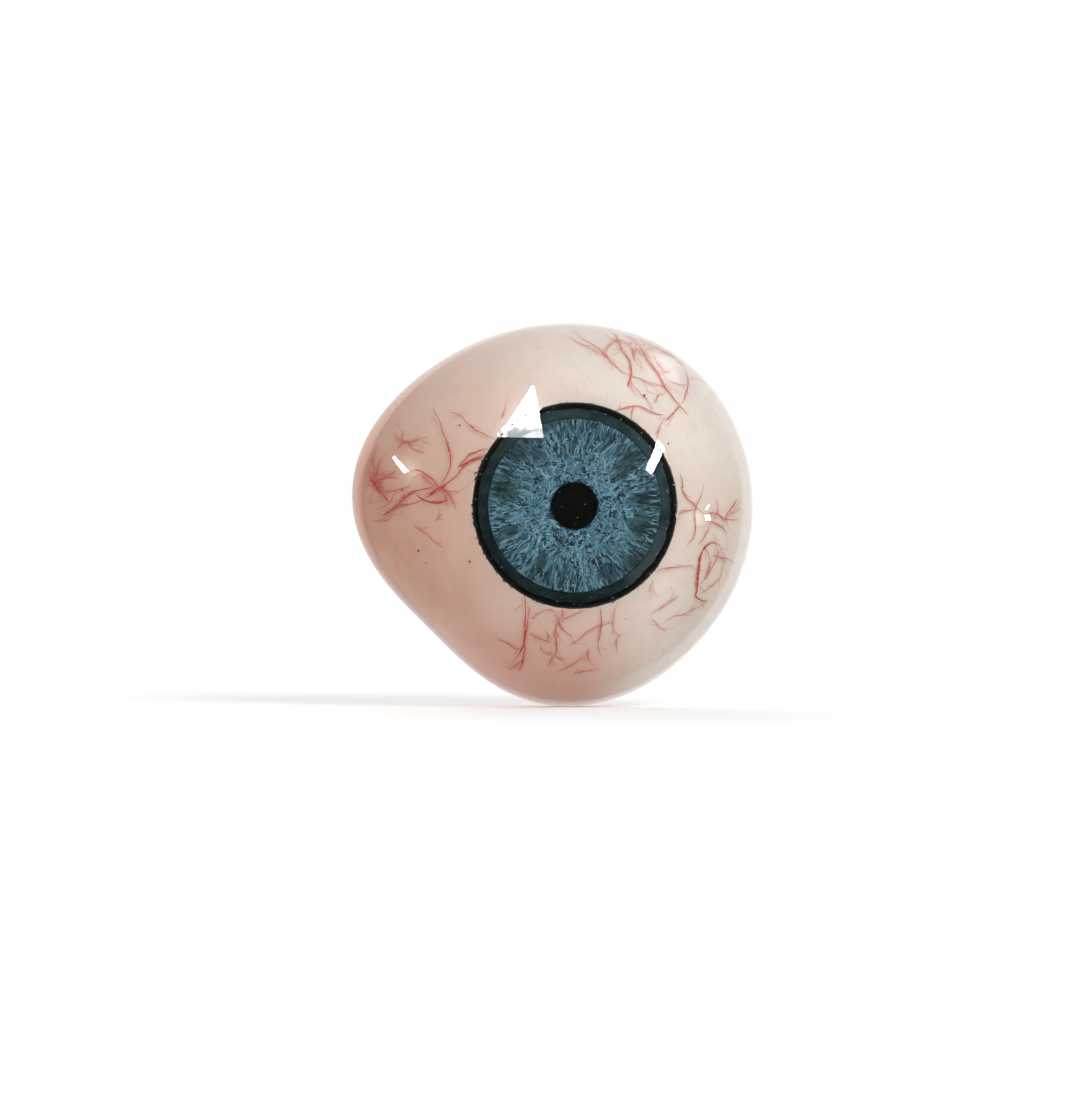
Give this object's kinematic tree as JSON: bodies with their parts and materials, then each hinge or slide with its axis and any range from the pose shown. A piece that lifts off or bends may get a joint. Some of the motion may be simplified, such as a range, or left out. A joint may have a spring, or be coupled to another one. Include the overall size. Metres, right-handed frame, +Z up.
{
  "type": "prosthetic eye",
  "caption": "Layered artificial eye: white drop-shaped shell with a hollow back, blue-grey iris disc under a clear domed front, and red threads laid between the two as veins.",
  "frame": {"origin": "deepest point of the hollow back, on the line of sight through the middle of the pupil", "axes": "-Y along the line of sight, out of the front; +Z up; +X towards the blunt side of the outline, away from its pointed end"},
  "size_m": [0.024, 0.012, 0.0228],
  "materials": {
    "white_resin": "gloss",
    "clear_resin": "gloss",
    "black_paint": "satin",
    "limbus_paint": "satin",
    "iris_paint": "satin",
    "pupil_paint": "satin",
    "red_thread": "matte"
  },
  "bodies": {
    "root": {"clear_front": "clear_resin", "iris_backing_disc": "black_paint", "iris_disc": "iris_paint", "limbus_ring": "limbus_paint", "pupil_disc": "pupil_paint", "scleral_base": "white_resin", "thread_lower_fork": "red_thread", "thread_lower_right": "red_thread", "thread_lower_trunk": "red_thread", "thread_nasal_cross": "red_thread", "thread_nasal_edge": "red_thread", "thread_nasal_limbus": "red_thread", "thread_nasal_long": "red_thread", "thread_nasal_low": "red_thread", "thread_nasal_star": "red_thread", "thread_nasal_upper": "red_thread", "thread_temporal_loop": "red_thread", "thread_temporal_low": "red_thread", "thread_temporal_star": "red_thread", "thread_upper_arch": "red_thread", "thread_upper_fan": "red_thread", "thread_upper_left": "red_thread", "thread_upper_right": "red_thread", "thread_upper_trunk": "red_thread"}
  },
  "joints": []
}
